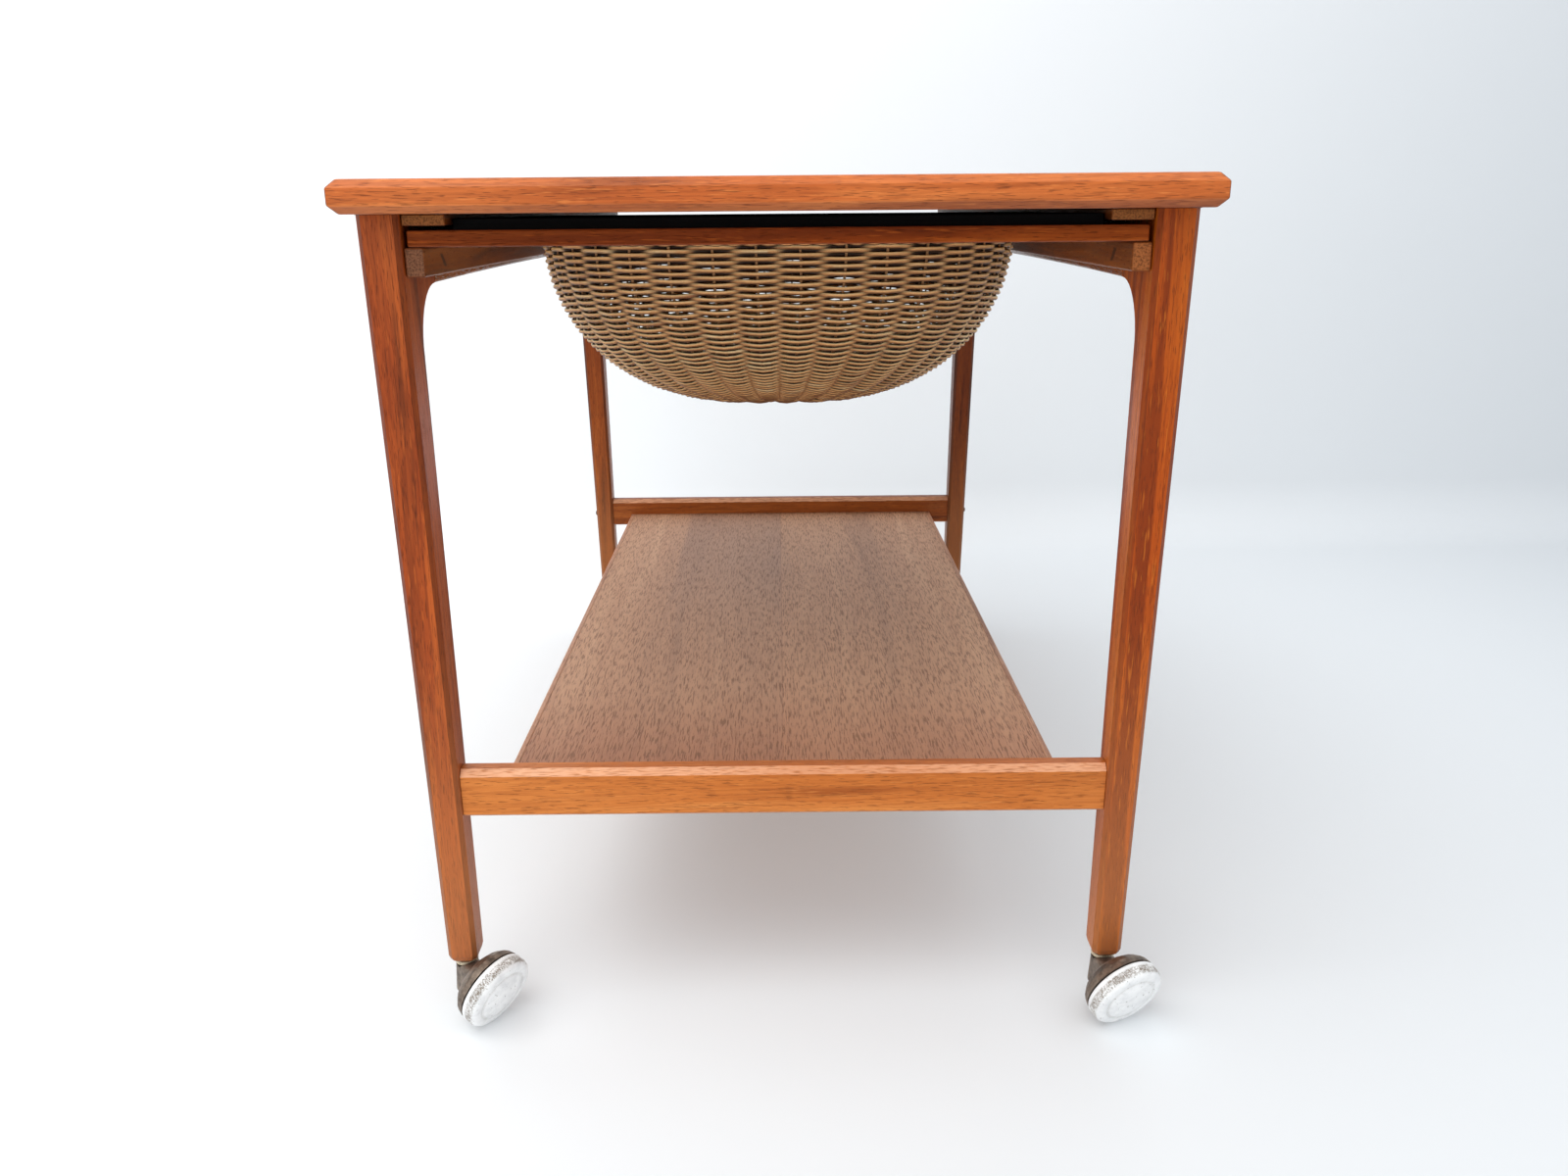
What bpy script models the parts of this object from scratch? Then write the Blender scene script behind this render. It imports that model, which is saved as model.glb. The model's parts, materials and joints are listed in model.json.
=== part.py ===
"""Wheeled sewing table: teak frame, sliding drawer with a cane basket and a black tray, four hooded casters.

Frame: +X right, +Y towards the rear, +Z up, origin on the floor under the middle of the table. Metres.
"""
import math

import bmesh
import bpy
from mathutils import Vector

# ---- driving sizes -------------------------------------------------------------------------------
FIT_GAP = 0.0003            # between pieces that are glued, seated or resting on each other
TABLE_HEIGHT = 0.530        # floor to the upper face of the top
TOP_LENGTH = 0.846          # along Y
TOP_WIDTH = 0.475           # along X
TOP_THICKNESS = 0.018
TOP_CHAMFER = 0.0045        # on the outer edges of the top, above and below
LIPPING_WIDTH = 0.022       # solid edging round the veneered panel

LEG_SETBACK = 0.030         # end of the top to the end face of a leg
LEG_SIDE_INSET = 0.0045     # side of the top to the outer face of a leg, at the underside of the top
LEG_SPLAY = 0.0102          # how much further in the outer face is at the foot
LEG_WIDTH_TOP = 0.0234      # along X
LEG_WIDTH_FOOT = 0.0190
LEG_DEPTH_TOP = 0.0310      # along Y, just under the flare
LEG_DEPTH_FOOT = 0.0215
LEG_EDGE = 0.0028           # chamfer on the long edges
FOOT_ROUND = 0.006          # rounding at the bottom of a leg
FLARE_REACH = 0.034         # how far the leg widens along Y to meet the apron
FLARE_HEIGHT = 0.034        # height of the hollow curve under the flare
APRON_HEIGHT = 0.040
APRON_THICKNESS = 0.021
APRON_ARCH = 0.0015         # rise of the apron's lower edge at mid length

RUNNER_WIDTH = 0.011
RUNNER_HEIGHT = 0.016
KICKER_WIDTH = 0.024
KICKER_THICKNESS = 0.006
END_SETBACK = 0.005         # end face of a leg to the ends of runners, kickers and drawer frame

RAIL_HEIGHT = 0.009         # drawer frame
RAIL_THICKNESS = 0.012
RAIL_HEADROOM = 0.0025      # under the kickers
RAIL_SIDE_PLAY = 0.0026     # to the legs, each side
BOARD_THICKNESS = 0.004
BASKET_WALL = 0.005
BASKET_SIDE_MARGIN = 0.00678        # basket's rim to the drawer frame's inner face, each side
BASKET_END_MARGIN = 0.119           # the same, each end
BASKET_DEPTH = 0.1377
BASKET_OUTLINE_POWER = 2.9  # superellipse power of the rim seen from above
BASKET_SIDE_POWER = 1.97    # these two powers shape the bowl from rim to bottom
BASKET_BELLY_POWER = 2.57
BOARD_OVERLAP = 0.002       # how far the board's hole stands inside the basket's inner face

TRAY_HEIGHT = 0.0106
TRAY_LENGTH = 0.360
TRAY_SIDE_PLAY = 0.0012     # to the kickers, each side
TRAY_WALL = 0.002
TRAY_FLOOR = 0.0015
TRAY_COLUMNS = (1.0, 1.15, 1.0)   # relative widths of the compartments
TRAY_ROWS = (1.0, 1.0)            # relative lengths

STRETCHER_BOTTOM = 0.1430   # above the floor
STRETCHER_HEIGHT = 0.0315
STRETCHER_THICKNESS = 0.0165
STRETCHER_SETBACK = 0.0043  # end face of a leg to the outer face of the stretcher
STRETCHER_CHAMFER = 0.0042  # both upper edges
STRETCHER_LOWER_EDGE = 0.0012
SHELF_SIDE_GAP = 0.02241    # shelf to the legs' inner faces, each side
SHELF_THICKNESS = 0.010
SHELF_LIPPING = 0.004
SHELF_TOP = 0.1560          # above the floor
SHELF_HOUSING = 0.004       # depth of the housing in each stretcher

SCREW_HEAD_RADIUS = 0.0034
SCREW_HEAD_HEIGHT = 0.0023
SCREW_SHANK_RADIUS = 0.0017
SCREW_REACH = 0.026         # past the leg's inner face, into the stretcher

CASTER_HEIGHT = 0.036       # floor to the bottom of a leg
WHEEL_RADIUS = 0.0254
WHEEL_HALF_TREAD = 0.0055
WHEEL_TILT = math.radians(21.0)     # the axle slopes down towards the wheel
WHEEL_OFFSET = 0.0325       # stem axis to the wheel's centre, along the axle
WHEEL_TRAIL = 0.006         # stem axis to the axle, across it
AXLE_RADIUS = 0.002
HOOD_RADIUS = 0.0250
HOOD_DEPTH = 0.0145
HOOD_WALL = 0.0013
HOOD_WHEEL_GAP = 0.0008
NECK_RADIUS = 0.0073
NECK_FOOT_RADIUS = 0.0085
NECK_BOTTOM = 0.013         # above the floor
STEM_RADIUS = 0.003
STEM_COLLAR_RADIUS = 0.0062
STEM_COLLAR_THICKNESS = 0.0012
SOCKET_FLANGE_RADIUS = 0.0076
SOCKET_FLANGE_THICKNESS = 0.0022
SOCKET_RADIUS = 0.0050
SOCKET_DEPTH = 0.030        # inside the leg
HEADINGS = {                # way the wheel stands out from the stem, in degrees from +X towards -Y
    "front_left": 33.0,
    "front_right": 66.0,
    "rear_left": 246.0,
    "rear_right": 213.0,
}

ROUND_SIDES = 24            # facets of a large turned piece
SMALL_SIDES = 14            # facets of a small turned piece
BASKET_SIDES = 48

# ---- sizes that follow ---------------------------------------------------------------------------
UNDERSIDE = TABLE_HEIGHT - TOP_THICKNESS
LEG_TOP = UNDERSIDE - FIT_GAP
LEG_END = TOP_LENGTH / 2 - LEG_SETBACK
APRON_BOTTOM = UNDERSIDE - APRON_HEIGHT
KICKER_BOTTOM = LEG_TOP - KICKER_THICKNESS
RAIL_TOP = KICKER_BOTTOM - RAIL_HEADROOM
RAIL_BOTTOM = RAIL_TOP - RAIL_HEIGHT
RUNNER_TOP = RAIL_BOTTOM - FIT_GAP
RUNNER_BOTTOM = RUNNER_TOP - RUNNER_HEIGHT
INSIDE_END = LEG_END - END_SETBACK


def along(z, at_top, at_foot):
    """A leg's size at height z, from its value at the top and at the foot."""
    share = (LEG_TOP - z) / (LEG_TOP - CASTER_HEIGHT)
    return at_top + (at_foot - at_top) * share


def leg_outer(z):
    """Distance of a leg's outer face from the middle of the table at height z."""
    start = TOP_WIDTH / 2 - LEG_SIDE_INSET
    return along(z, start, start - LEG_SPLAY)


def leg_inner(z):
    return leg_outer(z) - along(z, LEG_WIDTH_TOP, LEG_WIDTH_FOOT)


def leg_depth(z):
    return along(z, LEG_DEPTH_TOP, LEG_DEPTH_FOOT)


INSIDE_FACE = leg_inner(RUNNER_BOTTOM) - FIT_GAP        # outer side of runners and kickers
RAIL_HALF_WIDTH = leg_inner(RAIL_BOTTOM) - RAIL_SIDE_PLAY
BASKET_HALF_WIDTH = RAIL_HALF_WIDTH - RAIL_THICKNESS - BASKET_SIDE_MARGIN
BASKET_HALF_LENGTH = INSIDE_END - RAIL_THICKNESS - BASKET_END_MARGIN
SHELF_HALF_WIDTH = leg_inner(SHELF_TOP) - SHELF_SIDE_GAP
STRETCHER_OUTER = LEG_END - STRETCHER_SETBACK
STRETCHER_INNER = STRETCHER_OUTER - STRETCHER_THICKNESS
STRETCHER_MIDDLE = (STRETCHER_OUTER + STRETCHER_INNER) / 2
SCREW_LEVEL = STRETCHER_BOTTOM + (STRETCHER_HEIGHT - STRETCHER_CHAMFER) / 2
SCREW_SEAT = FIT_GAP + max(leg_outer(SCREW_LEVEL + rise) for rise in (-SCREW_HEAD_RADIUS, SCREW_HEAD_RADIUS))
SCREW_TIP = leg_inner(SCREW_LEVEL) - SCREW_REACH
FOOT_X = leg_outer(CASTER_HEIGHT) - LEG_WIDTH_FOOT / 2
FOOT_Y = LEG_END - LEG_DEPTH_FOOT / 2

# ---- materials -----------------------------------------------------------------------------------


def material(name, colour, roughness, metallic=0.0):
    made = bpy.data.materials.new(name)
    made.use_nodes = True
    shader = made.node_tree.nodes["Principled BSDF"]
    shader.inputs["Base Color"].default_value = (*colour, 1.0)
    shader.inputs["Roughness"].default_value = roughness
    shader.inputs["Metallic"].default_value = metallic
    return made


for old in list(bpy.data.objects):
    bpy.data.objects.remove(old, do_unlink=True)

TEAK = material("oiled_teak", (0.42, 0.17, 0.06), 0.5)
VENEER = material("teak_veneer", (0.38, 0.20, 0.12), 0.6)
RUNNER_WOOD = material("runner_wood", (0.36, 0.18, 0.08), 0.6)
CANE = material("woven_cane", (0.58, 0.36, 0.18), 0.6)
PLY = material("plywood", (0.55, 0.38, 0.22), 0.7)
BLACK = material("black_plastic", (0.012, 0.012, 0.013), 0.4)
WHITE = material("white_plastic", (0.82, 0.82, 0.80), 0.4)
CREAM = material("cream_plastic", (0.78, 0.70, 0.55), 0.5)
BRONZE = material("bronzed_metal", (0.16, 0.13, 0.11), 0.4, 0.8)
STEEL = material("steel", (0.45, 0.45, 0.45), 0.35, 1.0)

# ---- shapes --------------------------------------------------------------------------------------


def piece(name, mesh_data, finish, smooth_angle=None):
    """Turns a bmesh into a named object with its faces pointing out."""
    bmesh.ops.recalc_face_normals(mesh_data, faces=mesh_data.faces)
    mesh = bpy.data.meshes.new(name)
    mesh_data.to_mesh(mesh)
    mesh_data.free()
    mesh.materials.append(finish)
    if smooth_angle is not None:
        mesh.shade_smooth()
        mesh.set_sharp_from_angle(angle=math.radians(smooth_angle))
    made = bpy.data.objects.new(name, mesh)
    bpy.context.scene.collection.objects.link(made)
    return made


def loft(rings):
    """Skins rings of equal length one after the other and closes both ends."""
    shape = bmesh.new()
    rows = [[shape.verts.new(point) for point in ring] for ring in rings]
    count = len(rows[0])
    for lower, upper in zip(rows, rows[1:]):
        for i in range(count):
            j = (i + 1) % count
            shape.faces.new((lower[i], lower[j], upper[j], upper[i]))
    shape.faces.new(list(reversed(rows[0])))
    shape.faces.new(rows[-1])
    return shape


def turned(profile, sides):
    """Turns (radius, height) points about Z. Points on the axis become single vertices."""
    shape = bmesh.new()
    rows = []
    for radius, height in profile:
        if radius == 0:
            rows.append([shape.verts.new((0, 0, height))])
        else:
            turn = [2 * math.pi * i / sides for i in range(sides)]
            ring = [(radius * math.cos(a), radius * math.sin(a), height) for a in turn]
            rows.append([shape.verts.new(point) for point in ring])
    for one, two in zip(rows, rows[1:]):
        for i in range(sides):
            j = (i + 1) % sides
            if len(one) == 1:
                shape.faces.new((one[0], two[i], two[j]))
            elif len(two) == 1:
                shape.faces.new((one[i], two[0], one[j]))
            else:
                shape.faces.new((one[i], two[i], two[j], one[j]))
    return shape


def block(name, low, high, finish, edge=0.0):
    """A straight piece between two corners, with its edges eased by a bevel."""
    size = Vector(high) - Vector(low)
    shape = bmesh.new()
    bmesh.ops.create_cube(shape, size=1.0)
    bmesh.ops.scale(shape, vec=size, verts=shape.verts)
    if edge:
        bmesh.ops.bevel(shape, geom=shape.edges, offset=edge, segments=1, affect="EDGES")
    made = piece(name, shape, finish)
    made.location = (Vector(low) + Vector(high)) / 2
    return made


def tool(name, shape, location=(0, 0, 0), parent=None):
    """A hidden solid that another piece is cut or joined with."""
    made = piece(name, shape, STEEL)
    made.hide_render = True
    made.display_type = "WIRE"
    made.location = location
    made.parent = parent
    return made


def combine(target, other, operation="DIFFERENCE"):
    step = target.modifiers.new(other.name, "BOOLEAN")
    step.operation = operation
    step.solver = "EXACT"
    step.object = other


# ---- top -----------------------------------------------------------------------------------------


def lipping(name, half_run, face, finish):
    """Solid edging with chamfered edges and mitred ends, running along local X, its face towards -Y."""
    mitre = FIT_GAP * math.sqrt(2) / 2
    section = [
        (0, UNDERSIDE + TOP_CHAMFER),
        (TOP_CHAMFER, UNDERSIDE),
        (LIPPING_WIDTH, UNDERSIDE),
        (LIPPING_WIDTH, TABLE_HEIGHT),
        (TOP_CHAMFER, TABLE_HEIGHT),
        (0, TABLE_HEIGHT - TOP_CHAMFER),
    ]
    ends = []
    for side in (-1, 1):
        ends.append([(side * (half_run - depth - mitre), depth - face, z) for depth, z in section])
    return piece(name, loft(ends), finish)


def build_top():
    half_length, half_width = TOP_LENGTH / 2, TOP_WIDTH / 2
    inset = LIPPING_WIDTH + FIT_GAP
    block(
        "top_panel",
        (inset - half_width, inset - half_length, UNDERSIDE),
        (half_width - inset, half_length - inset, TABLE_HEIGHT),
        VENEER,
    )
    for name, half_run, face, turn in (
        ("top_lipping_front", half_width, half_length, 0),
        ("top_lipping_right", half_length, half_width, 90),
        ("top_lipping_rear", half_width, half_length, 180),
        ("top_lipping_left", half_length, half_width, 270),
    ):
        lipping(name, half_run, face, TEAK).rotation_euler.z = math.radians(turn)


# ---- legs, aprons, runners and kickers -----------------------------------------------------------


def leg_ring(z, inset, flare, inner_edge):
    """Section of the right rear leg at height z: eight points, the inner edges eased by inner_edge."""
    out, inn = leg_outer(z) - inset, leg_inner(z) + inset
    end = LEG_END - inset
    back = LEG_END - leg_depth(min(z, APRON_BOTTOM)) - flare + inset
    edge = LEG_EDGE
    return [
        (out, end - edge, z),
        (out - edge, end, z),
        (inn + edge, end, z),
        (inn, end - edge, z),
        (inn, back + inner_edge, z),
        (inn + inner_edge, back, z),
        (out - inner_edge, back, z),
        (out, back + inner_edge, z),
    ]


def leg_shape():
    rings = []
    for degrees in (0, 30, 60, 90):
        angle = math.radians(degrees)
        z = CASTER_HEIGHT + FOOT_ROUND * (1 - math.cos(angle))
        rings.append(leg_ring(z, FOOT_ROUND * (1 - math.sin(angle)), 0.0, LEG_EDGE))
    steps = 10
    start = APRON_BOTTOM - FLARE_HEIGHT
    for step in range(steps + 1):
        angle = math.pi / 2 * step / steps
        rise, flare = FLARE_HEIGHT * math.sin(angle), FLARE_REACH * (1 - math.cos(angle))
        edge = LEG_EDGE + (FIT_GAP - LEG_EDGE) * math.sin(angle)
        rings.append(leg_ring(start + rise, 0.0, flare, edge))
    rings.append(leg_ring(LEG_TOP, 0.0, FLARE_REACH, FIT_GAP))
    return rings


def build_leg(corner, side, end):
    rings = [[(x * side, y * end, z) for x, y, z in ring] for ring in leg_shape()]
    leg = piece(f"leg_{corner}", loft(rings), TEAK)
    bore = tool(
        f"socket_bore_{corner}",
        turned(
            [
                (0, -FIT_GAP),
                (SOCKET_RADIUS + FIT_GAP, -FIT_GAP),
                (SOCKET_RADIUS + FIT_GAP, SOCKET_DEPTH + FIT_GAP),
                (0, SOCKET_DEPTH + FIT_GAP),
            ],
            SMALL_SIDES,
        ),
        (side * FOOT_X, end * FOOT_Y, CASTER_HEIGHT),
    )
    combine(leg, bore)
    return leg


def build_apron(name, side):
    """Side apron between the flared legs, its lower edge slightly arched."""
    reach = LEG_END - leg_depth(APRON_BOTTOM) - FLARE_REACH - FIT_GAP
    outer = INSIDE_FACE + FIT_GAP + APRON_THICKNESS
    inner = INSIDE_FACE + FIT_GAP
    rings = []
    steps = 8
    for step in range(steps + 1):
        share = 2 * step / steps - 1
        low = APRON_BOTTOM + APRON_ARCH * (1 - share**2)
        y = reach * share
        rings.append([(inner * side, y, low), (outer * side, y, low), (outer * side, y, LEG_TOP),
                      (inner * side, y, LEG_TOP)])
    return piece(name, loft(rings), TEAK)


def build_sides():
    for name, side in (("left", -1), ("right", 1)):
        build_apron(f"side_apron_{name}", side)
        runner = sorted((side * INSIDE_FACE, side * (INSIDE_FACE - RUNNER_WIDTH)))
        block(
            f"drawer_runner_{name}",
            (runner[0], -INSIDE_END, RUNNER_BOTTOM),
            (runner[1], INSIDE_END, RUNNER_TOP),
            RUNNER_WOOD,
            0.0008,
        )
        kicker = sorted((side * INSIDE_FACE, side * (INSIDE_FACE - KICKER_WIDTH)))
        block(
            f"drawer_kicker_{name}",
            (kicker[0], -INSIDE_END, KICKER_BOTTOM),
            (kicker[1], INSIDE_END, LEG_TOP),
            RUNNER_WOOD,
            0.0005,
        )


# ---- drawer frame, board and basket --------------------------------------------------------------


def build_drawer():
    half_width, inside = RAIL_HALF_WIDTH, RAIL_HALF_WIDTH - RAIL_THICKNESS
    for name, end in (("front", -1), ("rear", 1)):
        span = sorted((end * INSIDE_END, end * (INSIDE_END - RAIL_THICKNESS)))
        block(
            f"drawer_rail_{name}",
            (-half_width, span[0], RAIL_BOTTOM),
            (half_width, span[1], RAIL_TOP),
            TEAK,
            0.0008,
        )
    reach = INSIDE_END - RAIL_THICKNESS - FIT_GAP
    for name, side in (("left", -1), ("right", 1)):
        span = sorted((side * half_width, side * inside))
        block(
            f"drawer_rail_{name}",
            (span[0], -reach, RAIL_BOTTOM),
            (span[1], reach, RAIL_TOP),
            TEAK,
            0.0008,
        )
    board = block(
        "basket_board",
        (FIT_GAP - inside, -reach, RAIL_BOTTOM + FIT_GAP),
        (inside - FIT_GAP, reach, RAIL_BOTTOM + FIT_GAP + BOARD_THICKNESS),
        PLY,
    )
    shrink = BASKET_WALL + BOARD_OVERLAP
    hole = loft([oval(BASKET_HALF_WIDTH - shrink, BASKET_HALF_LENGTH - shrink, z) for z in
                 (RAIL_BOTTOM - BOARD_THICKNESS, RAIL_TOP)])
    combine(board, tool("board_hole", hole))
    build_basket()


def oval(half_width, half_length, z):
    """A superellipse seen from above."""
    points = []
    for i in range(BASKET_SIDES):
        angle = 2 * math.pi * i / BASKET_SIDES
        x, y = math.cos(angle), math.sin(angle)
        power = 2 / BASKET_OUTLINE_POWER
        points.append((
            half_width * math.copysign(abs(x) ** power, x),
            half_length * math.copysign(abs(y) ** power, y),
            z,
        ))
    return points


def bowl(half_width, half_length, depth, top, rings):
    """Rings of the basket's bowl from its rim down to near its bottom."""
    made = []
    for step in range(rings):
        share = math.sin(math.pi / 2 * step / rings)
        scale = (1 - share**BASKET_SIDE_POWER) ** (1 / BASKET_BELLY_POWER)
        made.append(oval(half_width * scale, half_length * scale, top - depth * share))
    return made


def build_basket():
    rim = RAIL_BOTTOM - FIT_GAP
    rings = 9
    outer = bowl(BASKET_HALF_WIDTH, BASKET_HALF_LENGTH, BASKET_DEPTH, rim, rings)
    half_width, half_length = BASKET_HALF_WIDTH - BASKET_WALL, BASKET_HALF_LENGTH - BASKET_WALL
    inner = bowl(half_width, half_length, BASKET_DEPTH - BASKET_WALL, rim, rings)
    basket = loft(list(reversed(outer)) + inner)
    piece("woven_basket", basket, CANE, 40)


# ---- black tray ----------------------------------------------------------------------------------


def cell_lines(low, high, shares):
    """Positions of the walls and pockets across a tray, alternately wall and pocket."""
    free = high - low - TRAY_WALL * (len(shares) + 1)
    lines = [low]
    for share in shares:
        lines.append(lines[-1] + TRAY_WALL)
        lines.append(lines[-1] + free * share / sum(shares))
    lines.append(high)
    return lines


def build_tray():
    half_width = INSIDE_FACE - KICKER_WIDTH - TRAY_SIDE_PLAY
    low_y = -(INSIDE_END - RAIL_THICKNESS - 2 * FIT_GAP)
    bottom = RAIL_BOTTOM + BOARD_THICKNESS + 2 * FIT_GAP
    xs = cell_lines(-half_width, half_width, TRAY_COLUMNS)
    ys = cell_lines(low_y, low_y + TRAY_LENGTH, TRAY_ROWS)
    top, floor = bottom + TRAY_HEIGHT, bottom + TRAY_FLOOR
    shape = bmesh.new()
    corners = {}

    def corner(i, j, z):
        key = (i, j, round(z, 6))
        if key not in corners:
            corners[key] = shape.verts.new((xs[i], ys[j], z))
        return corners[key]

    def height(i, j):
        if not (0 <= i < len(xs) - 1 and 0 <= j < len(ys) - 1):
            return None
        return floor if i % 2 and j % 2 else top

    def wall(one, two, here, there):
        if there is None:
            levels = [bottom, here]
        elif here > there:
            levels = [there, here]
        else:
            return
        low, high = levels
        shape.faces.new((corner(*one, low), corner(*two, low), corner(*two, high), corner(*one, high)))

    for i in range(len(xs) - 1):
        for j in range(len(ys) - 1):
            here = height(i, j)
            square = ((i, j), (i + 1, j), (i + 1, j + 1), (i, j + 1))
            shape.faces.new([corner(*at, here) for at in square])
            shape.faces.new([corner(*at, bottom) for at in reversed(square)])
            wall(square[0], square[1], here, height(i, j - 1))
            wall(square[1], square[2], here, height(i + 1, j))
            wall(square[2], square[3], here, height(i, j + 1))
            wall(square[3], square[0], here, height(i - 1, j))
    piece("black_tray", shape, BLACK)


# ---- stretchers, shelf and screws ----------------------------------------------------------------


def stretcher_ring(side, end):
    """End section of a stretcher: its end follows the lean of the leg's inner face."""
    outer, inner = STRETCHER_OUTER, STRETCHER_INNER
    low, high = STRETCHER_BOTTOM, STRETCHER_BOTTOM + STRETCHER_HEIGHT
    section = [
        (outer - STRETCHER_LOWER_EDGE, low),
        (outer, low + STRETCHER_LOWER_EDGE),
        (outer, high - STRETCHER_CHAMFER),
        (outer - STRETCHER_CHAMFER, high),
        (inner + STRETCHER_CHAMFER, high),
        (inner, high - STRETCHER_CHAMFER),
        (inner, low + STRETCHER_LOWER_EDGE),
        (inner + STRETCHER_LOWER_EDGE, low),
    ]
    return [(side * (leg_inner(z) - FIT_GAP), end * y, z) for y, z in section]


def screw_bore(corner, side, end, start, stop):
    """A hidden round bar along X that makes the hole for a screw's shank."""
    radius = SCREW_SHANK_RADIUS + FIT_GAP
    bar = turned([(0, start), (radius, start), (radius, stop), (0, stop)], SMALL_SIDES)
    made = tool(f"screw_bore_{corner}", bar, (0, end * STRETCHER_MIDDLE, SCREW_LEVEL))
    made.rotation_euler.y = side * math.pi / 2
    return made


def build_screw(corner, side, end):
    head = []
    steps = 3
    for step in range(steps + 1):
        angle = math.pi / 2 * step / steps
        radius = 0 if step == 0 else SCREW_HEAD_RADIUS * math.sin(angle)
        head.append((radius, SCREW_SEAT + SCREW_HEAD_HEIGHT * math.cos(angle)))
    profile = head + [(SCREW_SHANK_RADIUS, SCREW_SEAT), (SCREW_SHANK_RADIUS, SCREW_TIP), (0, SCREW_TIP)]
    screw = piece(f"stretcher_screw_{corner}", turned(profile, SMALL_SIDES), BRONZE, 35)
    screw.location = (0, end * STRETCHER_MIDDLE, SCREW_LEVEL)
    screw.rotation_euler.y = side * math.pi / 2


def build_shelf(stretchers):
    half = SHELF_HALF_WIDTH
    low = SHELF_TOP - SHELF_THICKNESS
    reach = STRETCHER_INNER + SHELF_HOUSING - FIT_GAP
    inside = half - SHELF_LIPPING
    block("shelf_panel", (-inside + FIT_GAP, -reach, low), (inside - FIT_GAP, reach, SHELF_TOP), VENEER)
    block("shelf_lipping_left", (-half, -reach, low), (-inside, reach, SHELF_TOP), TEAK, 0.0006)
    block("shelf_lipping_right", (inside, -reach, low), (half, reach, SHELF_TOP), TEAK, 0.0006)
    room = half + FIT_GAP
    depth = STRETCHER_INNER + SHELF_HOUSING
    pocket = bmesh.new()
    bmesh.ops.create_cube(pocket, size=1.0)
    bmesh.ops.scale(pocket, vec=(2 * room, 2 * depth, SHELF_THICKNESS + 2 * FIT_GAP), verts=pocket.verts)
    housing = tool("shelf_housing", pocket, (0, 0, SHELF_TOP - SHELF_THICKNESS / 2))
    for stretcher in stretchers:
        combine(stretcher, housing)


# ---- casters -------------------------------------------------------------------------------------
# A caster's own frame: stem axis on Z, the axle pointing along +X and down, floor at Z = 0.
# The wheel's own frame: axle on Z, outer face towards +Z, origin at the middle of the tread.

WHEEL_PROFILE = [
    (0, 0.0083),
    (0.0080, 0.0079),
    (0.0160, 0.0062),
    (0.0175, 0.0052),
    (0.0190, 0.0056),
    (0.0232, 0.0051),
    (0.0249, 0.0036),
    (WHEEL_RADIUS, 0.0015),
    (WHEEL_RADIUS, 0.0012 - WHEEL_HALF_TREAD),
    (0.0244, -WHEEL_HALF_TREAD),
    (0.0205, -WHEEL_HALF_TREAD),
    (0.0200, -0.0030),
    (0.0070, -0.0030),
    (0.0056, -0.0085),
    (AXLE_RADIUS + FIT_GAP, -0.0085),
    (AXLE_RADIUS + FIT_GAP, 0.0015),
    (0, 0.0015),
]
AXLE_LOW, AXLE_HIGH = -0.0167, 0.0012
WHEEL_CENTRE = Vector((
    WHEEL_OFFSET,
    -WHEEL_TRAIL,
    max(radius * math.cos(WHEEL_TILT) + height * math.sin(WHEEL_TILT) for radius, height in WHEEL_PROFILE),
))
AXLE_TURN = (0, math.pi / 2 + WHEEL_TILT, 0)
AXLE_WAY = Vector((math.cos(WHEEL_TILT), 0, -math.sin(WHEEL_TILT)))
AXLE_UP = Vector((math.sin(WHEEL_TILT), 0, math.cos(WHEEL_TILT)))
COLLAR_TOP = CASTER_HEIGHT - FIT_GAP - SOCKET_FLANGE_THICKNESS - FIT_GAP
NECK_TOP = COLLAR_TOP - STEM_COLLAR_THICKNESS - FIT_GAP
NECK_BORE_BOTTOM = 0.0175
NECK_TRIM = 0.001
COLLAR_ROOM = 0.0008        # radial room round the socket's flange


def hood_level(radius, outer_radius, depth):
    """Position along the axle of the hood's bowl at a distance from the axle."""
    face = -WHEEL_HALF_TREAD - HOOD_WHEEL_GAP
    return face - depth * math.sqrt(max(0.0, 1 - (radius / outer_radius) ** 2))


def hood_shape():
    """The pressed bowl of the hood with the boss that holds the axle."""
    steps = 5
    outer = []
    for step in range(steps + 1):
        radius = HOOD_RADIUS * math.sin(math.pi / 2 * step / steps)
        outer.append((0 if step == 0 else radius, hood_level(radius, HOOD_RADIUS, HOOD_DEPTH)))
    room, hollow = HOOD_RADIUS - HOOD_WALL, HOOD_DEPTH - HOOD_WALL
    boss_radius, boss_face = 0.0050, -0.0092
    first = math.asin(boss_radius / room)
    inner = []
    for step in range(steps):
        angle = math.pi / 2 + (first - math.pi / 2) * step / (steps - 1)
        radius = room * math.sin(angle)
        inner.append((radius, hood_level(radius, room, hollow)))
    bore = AXLE_RADIUS + FIT_GAP
    bore_end = AXLE_LOW - FIT_GAP
    boss = [(boss_radius, boss_face), (bore, boss_face), (bore, bore_end), (0, bore_end)]
    return turned(outer + inner + boss, ROUND_SIDES)


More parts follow.
